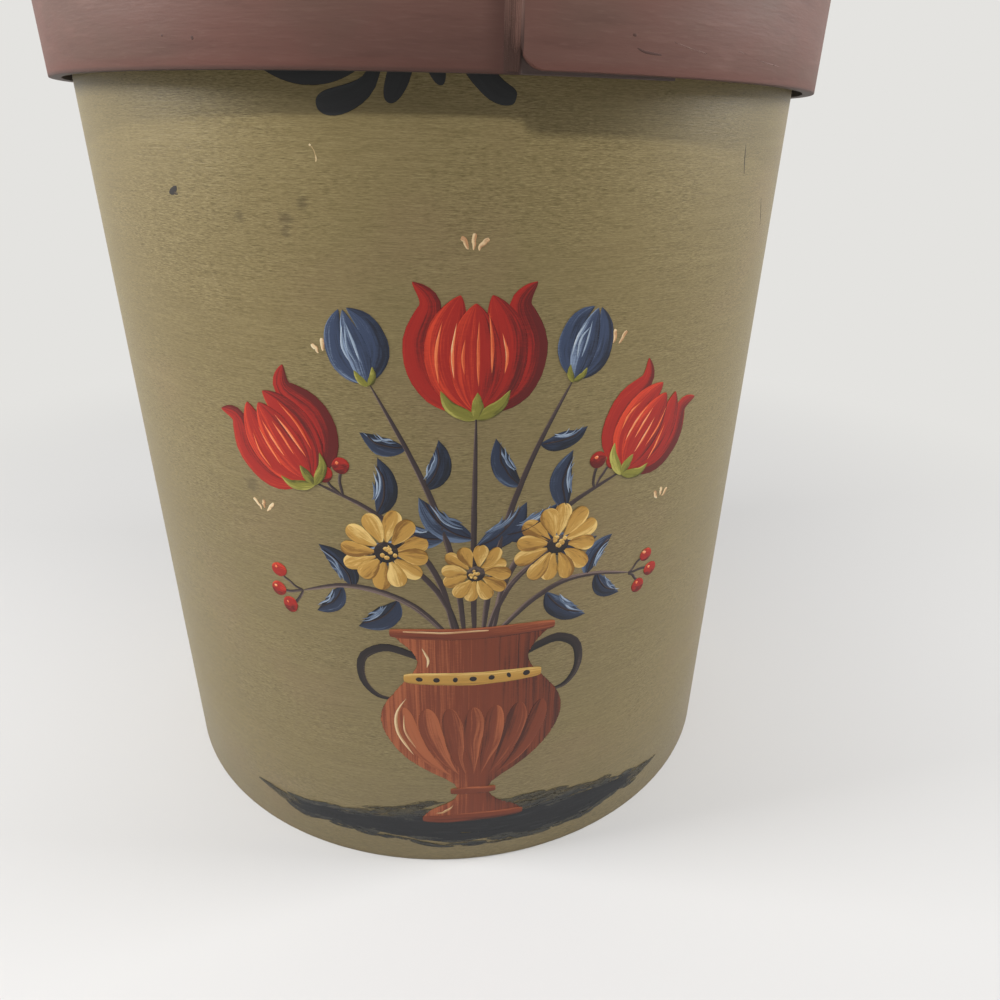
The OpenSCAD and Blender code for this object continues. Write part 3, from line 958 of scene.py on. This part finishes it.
# The band's underside near the foot, and the inner layer where it shows under the lap, are painted dark as
# shade.
underside_shade = above_foot.fade(8 * MM, 5 * MM) * from_face.fade(-0.3 * MM, -0.9 * MM)
in_lap = past_end.fade(0, 0.32 * MM) * past_end.fade(lid_overlap + 6.4 * MM, lid_overlap + 1.1 * MM)
shade_under_lap = in_lap * from_face.fade(0.3 * MM, 0.1 * MM)
daub = streaks(start, 90, (1, 1, 0.35), detail=4.0, shift=6.0)
from_step = 2.4 * MM * (daub - 0.5) - past_end
beside = from_step > -0.5 * MM
low_down = above_foot.fade(12 * MM, 3 * MM)
stained = beside * from_step.fade(64 * MM, 8 * MM) * (0.3 + 0.7 * low_down)
smeared = beside * from_step.fade(7 * MM, 3 * MM)
greyed = beside * from_step.fade(3 * MM, 2 * MM)
sooty = (above_foot.fade(14 * MM, 4 * MM) + 0.8 * (daub - 0.5)).clip()
# The end face of the lap's outer layer is painted lighter, painted light against the shade in its corner,
# less near the foot.
end_face_painted_light = past_end.fade(0.64 * MM, 0.21 * MM) * from_face.fade(0.2 * MM, 0.7 * MM)
put_on(shader, Base_Color=layered(
    colour,
    (0.35 * rubbed, srgb(116, 72, 63)),
    (0.65 * edge_grime_and_shade, srgb(74, 58, 52)),
    (0.8 * start.math("MAXIMUM", underside_shade, shade_under_lap), painted_lap_shade),
    (0.4 * stained, srgb(80, 55, 48)),
    (0.75 * smeared, srgb(84, 57, 50)),
    (0.75 * greyed, sooty.tint(srgb(112, 86, 77), srgb(70, 54, 49))),
    (0.7 * end_face_painted_light * (1 - sooty), srgb(138, 107, 97)),
))

# The lower part of the lid's inside is darkened with painted shade.
lid_wood = bare_wood(
    "lid_wood", srgb(164, 136, 98), srgb(130, 102, 68), round_the_band,
    shade_up_to=lid_foot + 5 * MM, painted_shade=srgb(58, 46, 44),
)
lid_band = shaped("lid_band_painted", bent_strip, {
    **lap_sizes, "Outer radius": lid_radius, "Thickness": band_thickness,
    "Height": lid_top - lid_foot, "Foot": lid_foot,
    "Overlap": lid_overlap, "Step": lid_step, "Outer end at": lid_end_at,
    "Skew": 0.65 * MM, "Skew run": 120 * MM,
    "Stations": 420, "Rows": 4, "Paint": rose_paint, "Wood": lid_wood,
}, eased=0.55 * MM)
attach(lid_band, "lid")
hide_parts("lid_band")


# Filler at the lid lap
# Old filler, wiped with a knife down the corner where the outer end of the lid band stops, and painted
# over with the lid. It has worn and gone dark near the foot, and has stained the band beside it.
filler_rose = stroke_paint(
    "filler_rose", (76, 55, 48), (103, 76, 67), (122, 91, 81), dry=0.2, gloss=0.7, sheen=rose_sheen)
step_arc = (lid_end_at + math.pi / 2) * lid_radius / MM
filler_reach, filler_rise, filler_count = 2.3, 2.35, 9
# At each height above the lid's foot, in mm: the share that is left, its tone, and if it has paint on it.
filler_heights = [0.3, 3.5, 5.5, 9, 14, (lid_top - lid_foot) / MM - 0.8]
filler_left = [0.2, 0.4, 0.75, 1.0, 1.0, 1.0]
filler_tones = [-1.1, -0.9, -0.45, 0.0, 0.4, 0.5]
filler_painted = [0, 0, 1, 1, 1, 1]
filler_wipes = []
for number in range(filler_count):
    inward = number / (filler_count - 1)
    path = [(step_arc - filler_reach * (1 - inward), lid_foot / MM + height) for height in filler_heights]
    coats = [filler_rise * inward ** 1.6 * left for left in filler_left]
    # Wipes nearer the step are painted lighter: painted light against the shade in the corner.
    lighter = 1.3 * inward ** 2 - 0.3
    tones = [tone + lighter * painted for tone, painted in zip(filler_tones, filler_painted)]
    filler_wipes.append(stroke(path, 0.35, 0.6, 0.1, coats, tones))
brush_on("lap_filler", "lid", filler_rose, filler_wipes, wall=lid_radius, coat=1 * MM, film=0.03 * MM)


# Marks on the lid
# A crease pressed into the outer layer of the lap, drawn as a dark line of painted shade, pale scratches
# beside it and a few dark spots. Each is a thin line in the face of the paint.
def on_lid(path, width):
    """A mark on the lid band's face, which stands further out over the lap."""
    past = [max(arc - step_arc, 0) * MM / (lid_overlap + lap_run_out) for arc, _ in path]
    proud = [lid_step / MM * (1 - share) if share > 0 else 0 for share in past]
    return stroke(path, width, 0.5, 0.3, [out + 0.01 for out in proud])


spots_and_crease_shade = [
    on_lid([(36.4, 223.0), (38.3, 222.4), (42.0, 222.1)], 0.22),
    on_lid([(35.2, 225.1), (36.0, 225.0)], 0.25),
    on_lid([(-48.9, 223.2), (-48.3, 223.3)], 0.35),
    on_lid([(-56.2, 223.8), (-55.8, 223.7)], 0.22),
]
scratches = [
    on_lid([(44.6, 224.4), (48.7, 223.6), (53.4, 222.9)], 0.12),
    on_lid([(68.1, 222.9), (73.4, 222.4), (79.6, 222.0)], 0.1),
    on_lid([(62.5, 223.9), (66.0, 223.5)], 0.1),
]
spot_and_crease_shade = stroke_paint(
    "spot_and_crease_shade", (70, 48, 43), (82, 57, 51), (94, 67, 60), dry=0.6, sheen=rose_sheen)
scratch_pale = stroke_paint(
    "scratch_pale", (114, 84, 75), (120, 90, 81), (128, 98, 89), dry=1.2, sheen=rose_sheen)
thin_mark = {"wall": lid_radius, "coat": 1 * MM, "film": 0.02 * MM, "ragged": 0.15 * MM}
brush_on("lid_spots_and_crease_shade", "lid", spot_and_crease_shade, spots_and_crease_shade, **thin_mark)
brush_on("lid_scratches", "lid", scratch_pale, scratches, **thin_mark)


# Lid board
# A round board let into the top of the lid band, flush with its edge, held by brads like the
# bottom board. Its top is painted with the lid and its underside is bare.
board_rose, shader, start, colour = rose_finish("board_rose", (1, 8, 8))
bare = height_on(start).fade(lid_top - 0.6 * MM, lid_top - 0.9 * MM)
figure = streaks(start, 30, (1, 18, 18), detail=5.0).fade(0.3, 0.7)
put_on(shader, Base_Color=bare.tint(colour, figure.tint(srgb(176, 146, 102), srgb(140, 108, 68))))
refinish("lid_board", board_rose)


# Lid lap tacks
# Three flat-headed steel tacks like those of the side band, driven through both layers of the lid's
# lap and clinched inside. Their heads were painted with the lid.
refinish("lid_lap_tacks", tack_finish("lid_tack", rose_dark, lid_radius))


# Lid brads
# Eight headless brads of thin steel, driven through the lid band into the edge of its board. They
# are set below the face of the band, filled and painted over.
refinish("lid_brads", brad_steel)


# Floor and light
# A pale sheet that fades into a pale background with no edge, under one lamp above the front and
# one at each side. The room is dim, darkest behind the camera, with a pale wall behind the box.
pale_ground = srgb(228, 227, 224)
floor_radius = 3.0
floor_mesh = bmesh.new()
bmesh.ops.create_circle(floor_mesh, cap_ends=True, radius=floor_radius, segments=96)
floor = bpy.data.objects.new("floor", bpy.data.meshes.new("floor"))
floor_mesh.to_mesh(floor.data)
floor_mesh.free()
floor.data.transform(Matrix.Translation((0, 0, cad_low.z - 0.2 * MM)))
bpy.context.scene.collection.objects.link(floor)
floor_sheet, shader, start = new_finish("floor_sheet")
put_on(shader, Base_Color=srgb(219, 218, 217), Roughness=0.8, Specular_IOR_Level=0.2)
outward = start.node("ShaderNodeVectorMath", {"operation": "LENGTH"}, {0: place_on(start)}, out="Value")
rays = start.node("ShaderNodeLightPath")
seen = rays.math("MAXIMUM", rays.out("Is Camera Ray"), rays.out("Is Glossy Ray"))
far_off = outward.fade(0.12, 0.5) * seen
glow = start.node("ShaderNodeEmission", {}, {"Color": pale_ground})
sheet = Wire(floor_sheet.node_tree, shader.outputs["BSDF"])
mixed = start.node("ShaderNodeMixShader", {}, {0: far_off, 1: sheet, 2: glow})
ending = floor_sheet.node_tree.nodes["Material Output"]
floor_sheet.node_tree.links.new(mixed.socket, ending.inputs["Surface"])
floor.data.materials.append(floor_sheet)

scene = bpy.context.scene
scene.view_settings.view_transform = "Standard"
surround = bpy.data.worlds.new("surround")
surround.use_nodes = True
scene.world = surround
start = Wire(surround.node_tree)
rays = start.node("ShaderNodeLightPath")
towards = start.node("ShaderNodeTexCoord").out("Generated")
depth = start.node("ShaderNodeSeparateXYZ", {}, {"Vector": towards}).out("Y")
behind_camera, behind_box = depth.fade(0.3, -0.7), depth.fade(0.6, 0.95)
room = behind_camera.tint(srgb(120, 121, 124), srgb(58, 59, 61))
room = behind_box.tint(room, pale_ground)
mirrored = (0.85 * behind_camera).tint(pale_ground, srgb(80, 81, 84))
room = rays.out("Is Glossy Ray").tint(room, mirrored)
seen = rays.math("MAXIMUM", rays.out("Is Camera Ray"), rays.out("Is Transmission Ray"))
put_on(surround.node_tree.nodes["Background"], Color=seen.tint(room, pale_ground))


def lamp(name, place, power, width):
    """A square lamp that points at the middle of the box."""
    data = bpy.data.lights.new(name, "AREA")
    data.energy, data.size = power, width
    made = bpy.data.objects.new(name, data)
    aim = Vector((0, 0, 0.5 * side_rim)) - Vector(place)
    made.matrix_world = Matrix.Translation(place) @ aim.to_track_quat("-Z", "Y").to_matrix().to_4x4()
    scene.collection.objects.link(made)


lamp("lamp_above_front", (-0.018, -0.553, 0.818), 3.85, 0.06)
lamp("lamp_left", (-0.55, -0.1, 0.46), 3.2, 0.22)
lamp("lamp_right", (0.55, -0.06, 0.42), 2.35, 0.22)


# Camera
# A phone camera held close above the front, tipped down and turned a little, so that the top of
# the lid is out of the picture.
camera_place = (0, -0.26553, 0.21023)
camera_turn, camera_tip, camera_roll = math.radians(-4.324), math.radians(26.668), math.radians(1.153)
lens = bpy.data.cameras.new("camera")
lens.sensor_width, lens.lens, lens.clip_start = 36, 27.127, 0.01
camera = bpy.data.objects.new("camera", lens)
camera.matrix_world = (
    Matrix.Translation(camera_place) @ Matrix.Rotation(camera_turn, 4, "Z")
    @ Matrix.Rotation(math.pi / 2 - camera_tip, 4, "X") @ Matrix.Rotation(camera_roll, 4, "Z")
)
scene.collection.objects.link(camera)
scene.camera = camera
